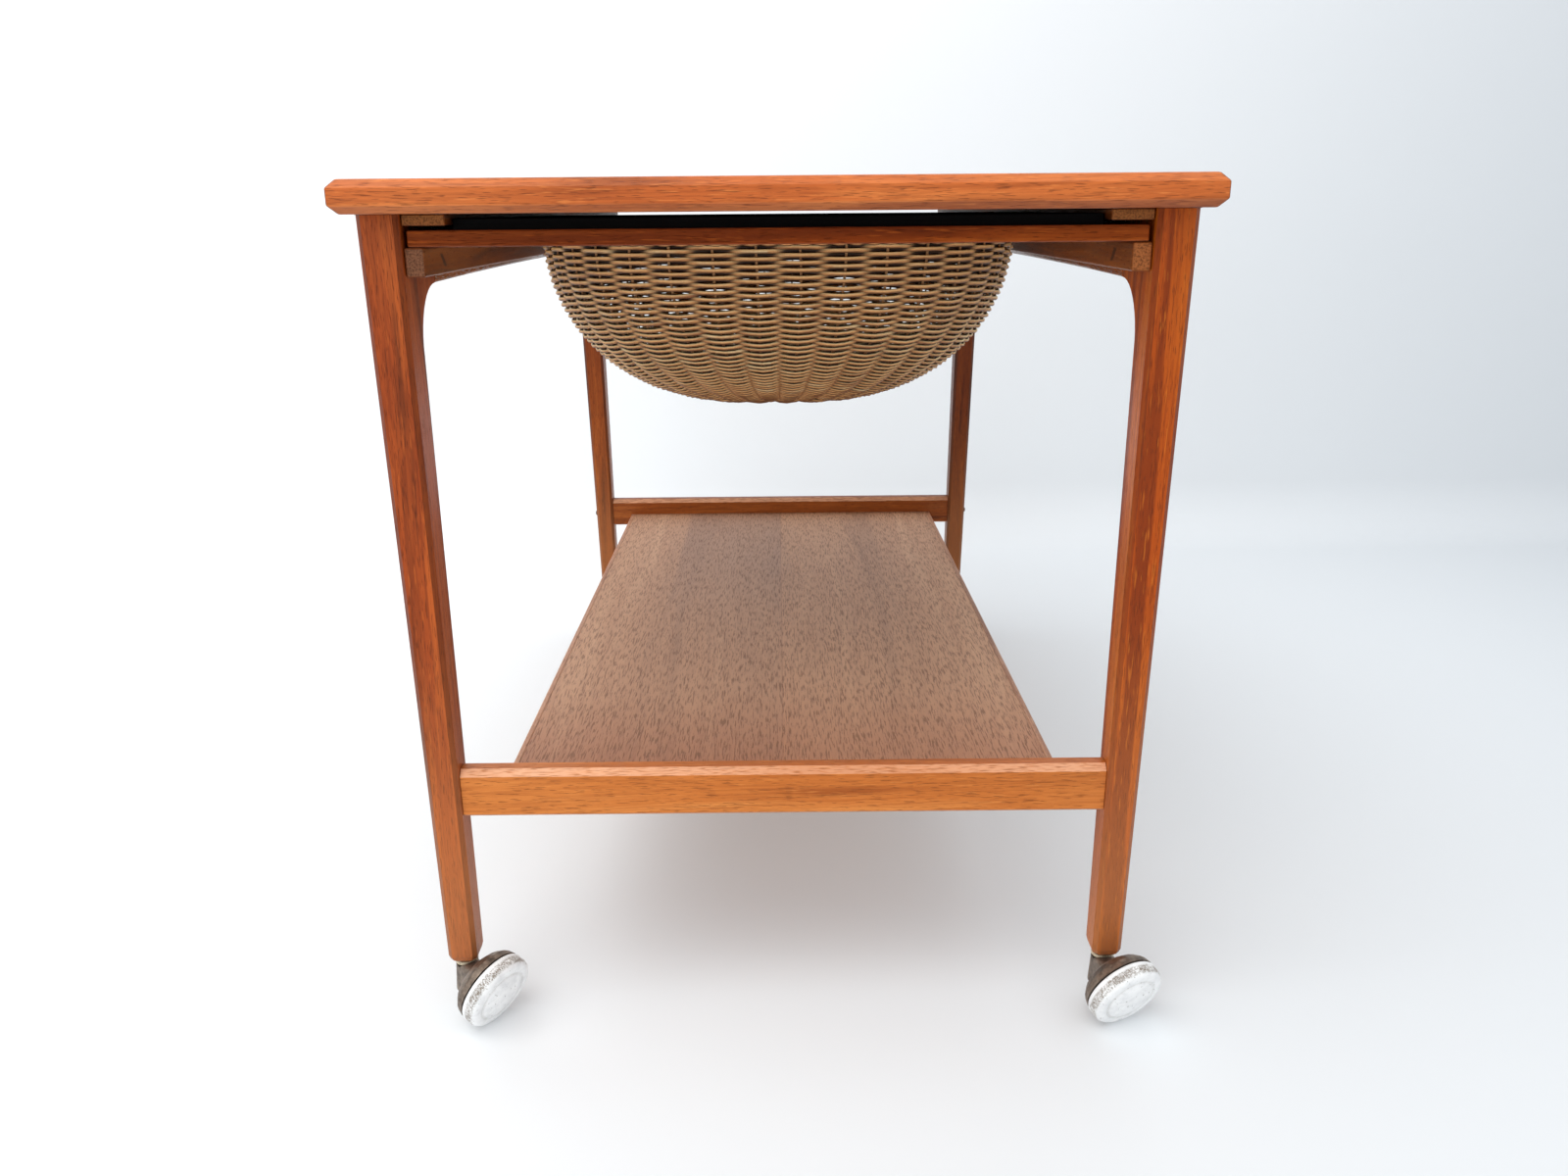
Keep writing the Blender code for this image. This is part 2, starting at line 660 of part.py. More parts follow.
def neck_shape():
    """The neck under the leg, blended to the bowl's back by a hull; collar_room trims its top."""
    shape = bmesh.new()
    for radius, z in ((NECK_RADIUS, NECK_TOP + NECK_TRIM), (NECK_FOOT_RADIUS, NECK_BOTTOM)):
        for i in range(ROUND_SIDES):
            angle = 2 * math.pi * i / ROUND_SIDES
            shape.verts.new((radius * math.cos(angle), radius * math.sin(angle), z))
    blend_radius = 0.0065
    level = hood_level(blend_radius, HOOD_RADIUS, HOOD_DEPTH) + HOOD_WALL / 2
    for i in range(ROUND_SIDES):
        angle = 2 * math.pi * i / ROUND_SIDES
        across = Vector((0, 1, 0)) * math.cos(angle) + AXLE_UP * math.sin(angle)
        shape.verts.new(WHEEL_CENTRE + AXLE_WAY * level + across * blend_radius)
    made = bmesh.ops.convex_hull(shape, input=shape.verts)
    left_over = made["geom_interior"] + made["geom_unused"]
    spare = {item for item in left_over if isinstance(item, bmesh.types.BMVert)}
    bmesh.ops.delete(shape, geom=list(spare), context="VERTS")
    return shape


def build_caster(corner, side, end):
    axis = bpy.data.objects.new(f"swivel_axis_{corner}", None)
    bpy.context.scene.collection.objects.link(axis)
    axis.location = (side * FOOT_X, end * FOOT_Y, 0)
    axis.rotation_euler.z = -math.radians(HEADINGS[corner])

    flange_top = CASTER_HEIGHT - FIT_GAP
    flange_bottom = flange_top - SOCKET_FLANGE_THICKNESS
    bore = STEM_RADIUS + FIT_GAP
    sleeve_top = CASTER_HEIGHT + SOCKET_DEPTH
    crown = 0.002
    socket = piece(
        f"caster_socket_{corner}",
        turned(
            [
                (0, sleeve_top),
                (SOCKET_RADIUS, sleeve_top),
                (SOCKET_RADIUS, flange_top),
                (SOCKET_FLANGE_RADIUS, flange_top),
                (SOCKET_FLANGE_RADIUS, flange_bottom),
                (bore, flange_bottom),
                (bore, sleeve_top - crown),
                (0, sleeve_top - crown),
            ],
            SMALL_SIDES,
        ),
        CREAM,
        35,
    )
    socket.location = axis.location

    stem = piece(
        f"caster_stem_{corner}",
        turned(
            [
                (0, sleeve_top - crown - FIT_GAP),
                (STEM_RADIUS, sleeve_top - crown - FIT_GAP),
                (STEM_RADIUS, COLLAR_TOP),
                (STEM_COLLAR_RADIUS, COLLAR_TOP),
                (STEM_COLLAR_RADIUS, COLLAR_TOP - STEM_COLLAR_THICKNESS),
                (STEM_RADIUS, COLLAR_TOP - STEM_COLLAR_THICKNESS),
                (STEM_RADIUS, NECK_BORE_BOTTOM + FIT_GAP),
                (0, NECK_BORE_BOTTOM + FIT_GAP),
            ],
            SMALL_SIDES,
        ),
        STEEL,
        35,
    )
    stem.parent = axis

    hood = piece(f"caster_hood_{corner}", hood_shape(), BRONZE, 40)
    hood.parent = axis
    hood.location = WHEEL_CENTRE
    hood.rotation_euler = AXLE_TURN
    combine(hood, tool(f"hood_neck_{corner}", neck_shape(), parent=axis), "UNION")
    room = SOCKET_FLANGE_RADIUS + COLLAR_ROOM
    room_top = CASTER_HEIGHT + FOOT_ROUND
    steps = [
        (0, NECK_BORE_BOTTOM),
        (bore, NECK_BORE_BOTTOM),
        (bore, NECK_TOP),
        (room, NECK_TOP),
        (room, room_top),
        (0, room_top),
    ]
    collar_room = turned(steps, ROUND_SIDES)
    combine(hood, tool(f"collar_room_{corner}", collar_room, parent=axis))

    pin = [(0, AXLE_HIGH), (AXLE_RADIUS, AXLE_HIGH), (AXLE_RADIUS, AXLE_LOW), (0, AXLE_LOW)]
    axle = piece(f"caster_axle_{corner}", turned(pin, SMALL_SIDES), STEEL, 35)
    wheel = piece(f"caster_wheel_{corner}", turned(WHEEL_PROFILE, ROUND_SIDES), WHITE, 40)
    for rolling in (axle, wheel):
        rolling.parent = axis
        rolling.location = WHEEL_CENTRE
        rolling.rotation_euler = AXLE_TURN


# ---- assembly ------------------------------------------------------------------------------------


def build_table():
    build_top()
    build_sides()
    stretchers = {}
    for name, end in (("front", -1), ("rear", 1)):
        rings = [stretcher_ring(side, end) for side in (-1, 1)]
        stretchers[name] = piece(f"stretcher_{name}", loft(rings), TEAK)
    build_shelf(stretchers.values())
    for end_name, end in (("front", -1), ("rear", 1)):
        for side_name, side in (("left", -1), ("right", 1)):
            corner = f"{end_name}_{side_name}"
            leg = build_leg(corner, side, end)
            bore = screw_bore(corner, side, end, SCREW_TIP - FIT_GAP, SCREW_SEAT + SCREW_HEAD_HEIGHT)
            combine(leg, bore)
            combine(stretchers[end_name], bore)
            build_screw(corner, side, end)
            build_caster(corner, side, end)
    build_drawer()
    build_tray()


build_table()
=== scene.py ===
import json
import math
import random

import bpy
import numpy as np
from mathutils import Matrix, Vector


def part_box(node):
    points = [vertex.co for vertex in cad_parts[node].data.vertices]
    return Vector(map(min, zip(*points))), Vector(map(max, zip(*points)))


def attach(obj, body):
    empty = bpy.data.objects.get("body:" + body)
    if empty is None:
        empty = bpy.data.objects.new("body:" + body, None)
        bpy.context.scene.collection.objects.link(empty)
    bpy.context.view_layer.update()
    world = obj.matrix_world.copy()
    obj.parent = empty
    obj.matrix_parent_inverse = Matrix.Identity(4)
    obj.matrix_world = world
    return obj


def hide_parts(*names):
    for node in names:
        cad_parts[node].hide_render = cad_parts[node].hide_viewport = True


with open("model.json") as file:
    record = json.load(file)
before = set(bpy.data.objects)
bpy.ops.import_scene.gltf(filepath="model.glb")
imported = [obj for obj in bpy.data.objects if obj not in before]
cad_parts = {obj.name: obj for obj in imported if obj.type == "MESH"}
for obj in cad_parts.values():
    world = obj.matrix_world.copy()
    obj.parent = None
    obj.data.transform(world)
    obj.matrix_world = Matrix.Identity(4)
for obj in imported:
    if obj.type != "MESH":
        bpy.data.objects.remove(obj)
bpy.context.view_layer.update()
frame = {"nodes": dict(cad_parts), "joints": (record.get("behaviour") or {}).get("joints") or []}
nodes = frame["nodes"]

# ---- table top -----------------------------------------------------------------------------------
# A teak-veneered board inside solid teak edging. The edging is chamfered above and below, mitred at
# the corners, glued on, and oiled. The two leaves of veneer mirror each other about the middle.


def paint(red, green, blue):
    """A colour as it is seen, 0 to 255, in the linear numbers that shaders take."""
    seen = (channel / 255 for channel in (red, green, blue))
    return tuple(c / 12.92 if c < 0.04045 else ((c + 0.055) / 1.055) ** 2.4 for c in seen)


class Value:
    """An output socket that can be reckoned with."""

    def __init__(self, finish, socket):
        self.finish = finish
        self.socket = socket

    def reckon(self, operation, first, second):
        return self.finish.node("ShaderNodeMath", {"operation": operation}, {0: first, 1: second})

    def __add__(self, other):
        return self.reckon("ADD", self, other)

    def __sub__(self, other):
        return self.reckon("SUBTRACT", self, other)

    def __rsub__(self, other):
        return self.reckon("SUBTRACT", other, self)

    def __mul__(self, other):
        return self.reckon("MULTIPLY", self, other)

    def __abs__(self):
        return self.reckon("ABSOLUTE", self, 0.0)

    __radd__ = __add__
    __rmul__ = __mul__

    def between(self, low, high):
        """0 up to low, 1 from high, and a soft step between them."""
        return self.finish.node(
            "ShaderNodeMapRange",
            {"interpolation_type": "SMOOTHSTEP"},
            {"Value": self, "From Min": low, "From Max": high},
        )


class Finish:
    """A Principled material that is built up with expressions."""

    def __init__(self, name, **uniform):
        self.material = bpy.data.materials.new(name)
        self.material.use_nodes = True
        self.tree = self.material.node_tree
        self.shader = self.tree.nodes["Principled BSDF"]
        self.colour = None
        for socket, value in uniform.items():
            self.set(socket.replace("_", " "), value)

    def set(self, socket, value):
        self.feed(self.shader.inputs[socket], value)

    def feed(self, socket, value):
        if isinstance(value, Value):
            self.tree.links.new(value.socket, socket)
        elif isinstance(value, tuple) and socket.type == "RGBA":
            socket.default_value = (*value, 1.0)
        else:
            socket.default_value = value

    def node(self, kind, settings=None, sockets=None, out=0):
        made = self.tree.nodes.new(kind)
        for key, value in (settings or {}).items():
            if key == "stops":
                elements = made.color_ramp.elements
                while len(elements) < len(value):
                    elements.new(0.5)
                for element, (position, colour) in zip(elements, value):
                    element.position = position
                    element.color = (*colour, 1.0)
            else:
                setattr(made, key, value)
        for key, value in (sockets or {}).items():
            self.feed(made.inputs[key], value)
        return Value(self, made.outputs[out])

    def place(self):
        return self.node("ShaderNodeTexCoord", out="Object")

    def parts(self, vector):
        return [self.node("ShaderNodeSeparateXYZ", sockets={0: vector}, out=i) for i in range(3)]

    def mix(self, share, one, two):
        return self.node("ShaderNodeMix", {"data_type": "RGBA"}, {0: share, 6: one, 7: two}, out=2)

    def noise(self, vector, scale, detail=2.0, rough=0.5, out="Fac"):
        """Noise whose scale, in lumps to the metre, is a number or differs along X, Y and Z."""
        if isinstance(scale, tuple):
            vector = self.node("ShaderNodeVectorMath", {"operation": "MULTIPLY"}, {0: vector, 1: scale})
            scale = 1.0
        return self.node(
            "ShaderNodeTexNoise",
            sockets={"Vector": vector, "Scale": scale, "Detail": detail, "Roughness": rough},
            out=out,
        )

    def bump(self, height, distance):
        made = self.node("ShaderNodeBump", sockets={"Height": height, "Distance": distance})
        self.set("Normal", made)


def shift(finish, place, seed):
    """Another stretch of the same wood for each seed."""
    away = (seed * 1.37, seed * 2.11, seed * 0.93)
    return finish.node("ShaderNodeVectorMath", {"operation": "ADD"}, {0: place, 1: away})


def stretched(run, along, across):
    """One number along the grain and another across it, as X, Y and Z."""
    return tuple(along if axis == run else across for axis in "XYZ")


def teak(
    name, run, tones, seed, figure=85.0, length=2.6, edge_highlight=0.35, edge_shade=0.0, end_tone=None,
    streaks=0.5, dull=0.34, shine=0.3, edge_tone=None,
):
    """Oiled teak with its grain along one axis: wandering dark figure, dark veins, fine lines and
    flecks, open pores, a painted highlight and painted shade on the chamfers, painted shade on the
    under side and speckled end grain.
    figure and length are the bands' fineness across and along the grain."""
    light, middle, dark = tones
    finish = Finish(name, Specular_IOR_Level=shine, Specular_Tint=(1.0, 0.78, 0.6))
    place = shift(finish, finish.place(), seed)
    facing = finish.parts(finish.node("ShaderNodeTexCoord", out="Normal"))
    wander = finish.noise(place, stretched(run, 3.2, 14.0), 2.0, out="Color")
    bent = finish.node(
        "ShaderNodeVectorMath",
        {"operation": "MULTIPLY_ADD"},
        {0: wander, 1: stretched(run, 0.0, 0.024), 2: place},
    )
    bands = finish.noise(bent, stretched(run, length, figure), 3.0, 0.55)
    lines = finish.noise(bent, stretched(run, 9.0, 620.0), 3.0, 0.6)
    pores = finish.noise(place, stretched(run, 120.0, 1900.0), 1.0)
    patches = finish.noise(place, stretched(run, 5.0, 16.0), 2.0)
    colour = finish.node(
        "ShaderNodeValToRGB",
        {"stops": [(0.30, dark), (0.43, middle), (0.56, middle), (0.72, light)]},
        {"Fac": bands},
    )
    colour = finish.mix(patches.between(0.35, 0.7) * 0.45, colour, light)
    vein = finish.noise(bent, stretched(run, 1.1, 95.0), 2.0, 0.45)
    colour = finish.mix(vein.between(0.54, 0.64) * streaks, colour, dark)
    colour = finish.mix((1 - vein.between(0.34, 0.42)) * streaks * 0.7, colour, light)
    colour = finish.mix((1 - lines.between(0.30, 0.62)) * 0.42, colour, dark)
    flecks = finish.noise(place, stretched(run, 48.0, 700.0), 2.0, 0.6)
    colour = finish.mix(flecks.between(0.58, 0.70) * 0.5, colour, light)
    open_pores = pores.between(0.60, 0.70)
    deep = tuple(channel * 0.45 for channel in dark)
    colour = finish.mix(open_pores * 0.55, colour, deep)
    one, two = [facing[i] for i in range(3) if "XYZ"[i] != run]
    edge = abs(one * two).between(0.22, 0.42)
    # Chamfers get a painted highlight, broken up by patches and pores, and painted shade.
    chamfer_highlight_tone = edge_tone or tuple(min(1.0, channel * 1.2 + 0.05) for channel in light)
    chamfer_highlight = (patches * 1.2 + 0.1) * edge_highlight * (1 - pores.between(0.5, 0.62) * 0.6)
    colour = finish.mix(edge * chamfer_highlight, colour, chamfer_highlight_tone)
    colour = finish.mix(edge * edge_shade, colour, deep)
    # Faces that look down are painted darker: painted shade.
    underside_shade = 1 - facing[2].between(-0.8, -0.4)
    colour = finish.mix(underside_shade * 0.4, colour, paint(84, 50, 46))
    end = abs(facing["XYZ".index(run)]).between(0.6, 0.85)
    speckle = finish.noise(place, 900.0, 2.0, 0.7)
    arcs = finish.noise(bent, stretched(run, 30.0, 260.0), 2.0)
    end_light = end_tone or tuple(channel * 0.62 for channel in middle)
    end_dark = tuple(channel * 0.30 for channel in end_light)
    end_colour = finish.mix(speckle.between(0.42, 0.62) * 0.7 + arcs * 0.2, end_light, end_dark)
    colour = finish.mix(end, colour, end_colour)
    finish.colour = colour
    finish.set("Base Color", colour)
    finish.set("Roughness", dull + lines * 0.10 + open_pores * 0.15)
    finish.bump(lines * 0.4 - open_pores, 0.00012)
    return finish


def dress(name, finish, ease=0.0006):
    """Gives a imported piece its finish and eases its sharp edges."""
    piece = nodes[name]
    for slot in piece.material_slots:
        slot.material = finish.material
    if ease:
        weld = piece.modifiers.new("joined faces", "WELD")
        weld.merge_threshold = 0.00002
        bevel = piece.modifiers.new("eased edges", "BEVEL")
        bevel.width = ease
        bevel.segments = 2
        bevel.limit_method = "ANGLE"
        bevel.angle_limit = math.radians(25)


grain_of_side = {"front": "X", "rear": "X", "left": "Y", "right": "Y"}
top_tones = (paint(226, 134, 68), paint(188, 94, 42), paint(126, 54, 22))
for number, (side, run) in enumerate(grain_of_side.items()):
    wood = teak(f"top edging {side}", run, top_tones, 1 + number, 60.0, edge_highlight=0.25, streaks=0.6)
    dress(f"top_lipping_{side}", wood, 0.0008)


def veneer(name, tones, seed, dull, painted_sheen=0.0):
    """Two leaves of teak veneer with the grain along Y, mirrored about a seam in the middle. The left
    leaf is slightly greyer. The last argument sets how strongly a painted reflection lightens all but
    the strip along the front, which it paints darker, and how dark a narrow strip of the left leaf is
    painted."""
    light, middle, dark = tones
    finish = Finish(name)
    place = finish.place()
    x, y, z = finish.parts(place)
    right_leaf = x.between(-0.0002, 0.0002)
    mirrored = finish.node("ShaderNodeCombineXYZ", sockets={0: abs(x), 1: y, 2: z})
    leaf = shift(finish, mirrored, seed)
    wander = finish.noise(leaf, (7.0, 1.6, 7.0), 2.0, out="Color")
    bent = finish.node(
        "ShaderNodeVectorMath",
        {"operation": "MULTIPLY_ADD"},
        {0: wander, 1: (0.10, 0.0, 0.0), 2: leaf},
    )
    bands = finish.noise(bent, (42.0, 1.1, 3.0), 3.0, 0.55)
    lines = finish.noise(bent, (420.0, 6.0, 3.0), 3.0, 0.6)
    pores = finish.noise(shift(finish, place, seed + 3), (950.0, 72.0, 50.0), 2.0, 0.6)
    fibres = finish.noise(place, (1500.0, 60.0, 50.0), 2.0, 0.6)
    patches = finish.noise(place, (9.0, 3.5, 3.0), 2.0)
    colour = finish.node(
        "ShaderNodeValToRGB",
        {"stops": [(0.30, dark), (0.46, middle), (0.58, middle), (0.74, light)]},
        {"Fac": bands},
    )
    colour = finish.mix((1 - lines.between(0.34, 0.62)) * 0.35, colour, dark)
    colour = finish.mix(fibres.between(0.35, 0.7) * 0.35, colour, light)
    colour = finish.mix(patches.between(0.4, 0.7) * 0.30, colour, light)
    colour = finish.mix((1 - right_leaf) * 0.16, colour, paint(120, 82, 70))
    if painted_sheen:
        # A narrow strip of the left leaf is painted darker and greyer.
        grey_strip = (1 - right_leaf) * x.between(-0.112, -0.106) * y.between(-0.10, 0.22)
        colour = finish.mix(grey_strip * painted_sheen, colour, paint(118, 82, 76))
        # A painted reflection lightens the veneer behind the front strip, and the front strip is
        # painted darker.
        sheen_reach = y.between(-0.40, -0.18)
        colour = finish.mix(sheen_reach * painted_sheen * 0.8, colour, paint(214, 174, 140))
        colour = finish.mix((1 - sheen_reach) * painted_sheen, colour, paint(140, 78, 50))
    open_pores = pores.between(0.50, 0.62)
    deep = tuple(channel * 0.42 for channel in dark)
    colour = finish.mix(open_pores * 0.55, colour, deep)
    seam_line = 1 - abs(x).between(0.0002, 0.0005)
    colour = finish.mix(seam_line * 0.35, colour, dark)
    finish.set("Base Color", colour)
    finish.set("Roughness", dull + fibres * 0.12 + open_pores * 0.1)
    finish.bump(fibres * 0.3 - open_pores, 0.00012)
    return finish


top_veneer = (paint(192, 118, 62), paint(166, 90, 42), paint(124, 60, 26))
dress("top_panel", veneer("top veneer", top_veneer, 5, 0.38), 0)

# ---- legs and side aprons ------------------------------------------------------------------------
# Solid teak. Each leg tapers, leans in towards its foot and widens in a hollow curve to meet the
# apron, which is glued between the two legs of its side. All the long edges are chamfered.
leg_tones = {
    "front_left": (paint(190, 92, 34), paint(144, 54, 14), paint(82, 22, 5)),
    "front_right": (paint(206, 112, 32), paint(172, 72, 10), paint(120, 42, 5)),
    "rear_left": (paint(166, 84, 28), paint(134, 58, 14), paint(86, 30, 6)),
    "rear_right": (paint(144, 70, 20), paint(112, 44, 8), paint(72, 22, 4)),
}
for number, (corner, tones) in enumerate(leg_tones.items()):
    # The legs' chamfers are painted dark as shade.
    wood = teak(
        f"leg teak {corner}", "Z", tones, 11 + 3 * number, 75.0, 2.2, edge_highlight=0.0, edge_shade=0.5,
        streaks=0.8,
    )
    # The lowest part of each leg is painted paler towards the foot.
    paler_foot = 1 - wood.parts(wood.place())[2].between(0.03, 0.30)
    wood.set("Base Color", wood.mix(paler_foot * 0.35, wood.colour, paint(206, 140, 88)))
    dress(f"leg_{corner}", wood)

apron_tones = (paint(176, 96, 48), paint(138, 62, 26), paint(84, 32, 12))
for number, side in enumerate(("left", "right")):
    name = f"apron teak {side}"
    wood = teak(name, "Y", apron_tones, 31 + number, edge_highlight=0.0, dull=0.16, shine=0.7)
    dress(f"side_apron_{side}", wood, 0.0012)

# ---- painted joint shade -------------------------------------------------------------------------
# A dark, slightly ragged strip of painted shade where the legs and the apron of each side meet the
# underside of the top. It is a thin strip that fills the joint.
shade_steps, shade_width, shade_inset, shade_ragged = 160, 0.0222, 0.0004, 0.0003
shade_clear = 0.00002
top_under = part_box("top_panel")[0].z
for side, way in (("left", -1), ("right", 1)):
    (low, _), (_, high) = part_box(f"leg_front_{side}"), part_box(f"leg_rear_{side}")
    outer = max(abs(low.x), abs(high.x)) - shade_inset
    inner = outer - shade_width
    bottom, top = high.z + shade_clear, top_under - shade_clear
    run_length = high.y - low.y - 2 * shade_inset
    rows = [low.y + shade_inset + run_length * step / shade_steps for step in range(shade_steps + 1)]
    verts = [
        (way * (x + shade_ragged * math.sin(step * 1.7 + x * 900)), y, z)
        for step, y in enumerate(rows)
        for x, z in ((inner, bottom), (outer, bottom), (outer, top), (inner, top))
    ]
    faces = [
        (4 * step + i, 4 * step + (i + 1) % 4, 4 * step + 4 + (i + 1) % 4, 4 * step + 4 + i)
        for step in range(shade_steps)
        for i in range(4)
    ]
    faces += [(3, 2, 1, 0), tuple(4 * shade_steps + i for i in range(4))]
    mesh = bpy.data.meshes.new(f"joint_shade_strip_{side}")
    mesh.from_pydata(verts, [], faces)
    joint_shade_strip = bpy.data.objects.new(f"joint_shade_strip_{side}", mesh)
    bpy.context.scene.collection.objects.link(joint_shade_strip)
    # The strip is painted dark and mottled, as shade in the joint.
    joint_shade = Finish(f"painted joint shade {side}")
    shade_mottle = joint_shade.noise(joint_shade.place(), 160.0, 3.0)
    joint_shade.set("Base Color", joint_shade.mix(shade_mottle, paint(84, 30, 14), paint(48, 18, 8)))
    joint_shade.set("Roughness", 0.4 + shade_mottle * 0.3)
    mesh.materials.append(joint_shade.material)
    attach(joint_shade_strip, "frame")

# ---- drawer runners and kickers ------------------------------------------------------------------
# Plain hardwood strips glued inside the aprons. The drawer frame slides on the lower pair, which
# shows pale end grain and a small dark check, and the upper pair stops it from tipping.


def check(finish, side, y_check, z_check):
    """A short slanting check in the wood of a runner's inner face."""
    y, z = finish.parts(finish.place())[1:]
    facing_x = finish.parts(finish.node("ShaderNodeTexCoord", out="Normal"))[0]
    wave = finish.noise(finish.place(), 260.0, 1.0)
    lean = y - y_check + (z - z_check) + (wave - 0.5) * 0.0018
    mark = (1 - abs(lean).between(0.0022, 0.0038)) * (1 - abs(z - z_check).between(0.0030, 0.0046))
    inner = (facing_x * -side).between(0.5, 0.9)
    finish.set("Base Color", finish.mix(mark * inner * 0.9, finish.colour, paint(40, 12, 5)))


runner_tones = (paint(160, 92, 40), paint(124, 62, 22), paint(76, 32, 10))
runner_ends = {"left": paint(136, 88, 62), "right": paint(176, 104, 56)}
check_in = 0.041
for side, way in (("left", -1), ("right", 1)):
    low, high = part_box(f"drawer_runner_{side}")
    runner_wood = teak(
        f"runner wood {side}", "Y", runner_tones, 41 + way, 130.0, edge_highlight=0.2,
        end_tone=runner_ends[side], shine=0.2,
    )
    check(runner_wood, way, low.y + check_in, (low.z + high.z) / 2)
    dress(f"drawer_runner_{side}", runner_wood, 0.0005)
    kicker_wood = teak(
        f"kicker wood {side}", "Y", runner_tones, 45 + way, 130.0, edge_highlight=0.2,
        end_tone=paint(160, 98, 50), shine=0.2,
    )
    dress(f"drawer_kicker_{side}", kicker_wood, 0.0004)

# ---- drawer frame and its board ------------------------------------------------------------------
# Four slim teak rails joined at the corners, with a thin plywood board let in between them. The
# basket hangs from the edge of the board's oval hole.
rail_tones = (paint(170, 84, 26), paint(134, 56, 12), paint(84, 28, 5))
for number, (side, run) in enumerate(grain_of_side.items()):
    name = f"drawer rail {side}"
    wood = teak(name, run, rail_tones, 51 + number, figure=110.0, edge_highlight=0.3, shine=0.12)
    dress(f"drawer_rail_{side}", wood, 0.0005)

ply = Finish("birch plywood")
ply_place = ply.place()
ply_figure = ply.noise(ply_place, (9.0, 2.0, 4.0), 3.0, 0.6)
ply_lines = ply.noise(ply_place, (260.0, 8.0, 900.0), 2.0)
ply_colour = ply.mix(ply_figure, paint(206, 168, 120), paint(176, 130, 84))
ply_colour = ply.mix(ply_lines.between(0.45, 0.7) * 0.35, ply_colour, paint(140, 98, 62))
ply.set("Base Color", ply_colour)
ply.set("Roughness", 0.55 + ply_lines * 0.15)
ply.bump(ply_lines, 0.0001)
dress("basket_board", ply, 0)

# ---- woven basket --------------------------------------------------------------------------------
# Plain weave in round cane: upright stakes from rim to bottom, and single weavers that pass in front
# of one stake and behind the next, each row the other way round from the last. A twisted pair of
# strands finishes the rim, and every second stake stops where the bottom flattens.
# Lengths run down the bowl's side from the rim. The formula's bowl is depth_stretch times as deep as
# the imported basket, because the strands lie weave_in inside it. Rows above drop_scale of the rim's
# size go round all the stakes, and the strands thin out from full_from down to thin_until of it.
depth_stretch = 1.0155
basket_low, basket_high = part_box("woven_basket")
rim_level = basket_high.z
half_width = (basket_high.x - basket_low.x) / 2
half_length = (basket_high.y - basket_low.y) / 2
bowl_depth = (basket_high.z - basket_low.z) * depth_stretch
outline_power = 2.9
side_power, belly_power = 1.97, 2.57
stake_count = 50
row_pitch = 0.00256
strand_up, strand_out = 0.00152, 0.00135
weave_in = 0.0034
stake_radius = 0.0010
weave_depth = 0.0024
strand_sides = 6
steps_per_stake = 4
drop_scale = 0.46
first_row, row_stray = 0.0052, 0.00012
bottom_gap, smallest_scale = 0.006, 0.012
swing_share = 0.16
ripple_up, ripple_out = 0.00008, 0.00009
thin_share, thin_until, full_from = 0.76, 0.62, 0.92
stake_top, stake_step, stake_stray, stake_waves = 0.0012, 0.0055, 0.0006, 60
near = 0.002
chance = random.Random(7)

turn = np.linspace(0, 2 * math.pi, 7201) - math.pi / 2
outline_x = half_width * np.sign(np.cos(turn)) * np.abs(np.cos(turn)) ** (2 / outline_power)
outline_y = half_length * np.sign(np.sin(turn)) * np.abs(np.sin(turn)) ** (2 / outline_power)
outline_run = np.concatenate([[0], np.cumsum(np.hypot(np.diff(outline_x), np.diff(outline_y)))])
rim_length = outline_run[-1]

sweep = np.linspace(0, math.pi / 2, 4001)
fall = np.sin(sweep)
shrink = (1 - fall**side_power).clip(0) ** (1 / belly_power)
mean_half = (half_width + half_length) / 2
profile_run = np.concatenate(
    [[0], np.cumsum(np.hypot(np.diff(shrink) * mean_half, np.diff(fall) * bowl_depth))]
)


def bowl_point(round_share, down):
    """Points on the bowl: round_share runs once round from the middle of the front, and down is the
    distance from the rim along the side."""
    at = np.mod(round_share, 1.0) * rim_length
    scale = np.interp(down, profile_run, shrink)
    x = np.interp(at, outline_run, outline_x) * scale
    y = np.interp(at, outline_run, outline_y) * scale
    z = rim_level - bowl_depth * np.interp(down, profile_run, fall)
    return np.stack([x, y, z + 0 * x], axis=-1)


def bowl_frame(round_share, down):
    """The bowl's points with their outward and upward directions."""
    here = bowl_point(round_share, down)
    ahead = bowl_point(round_share + near, down) - bowl_point(round_share - near, down)
    rise = bowl_point(round_share, np.maximum(down - near, 0)) - bowl_point(round_share, down + near)
    outward = np.cross(ahead, rise)
    outward /= np.linalg.norm(outward, axis=-1, keepdims=True).clip(1e-12)
    rise /= np.linalg.norm(rise, axis=-1, keepdims=True).clip(1e-12)
    return here, outward, rise


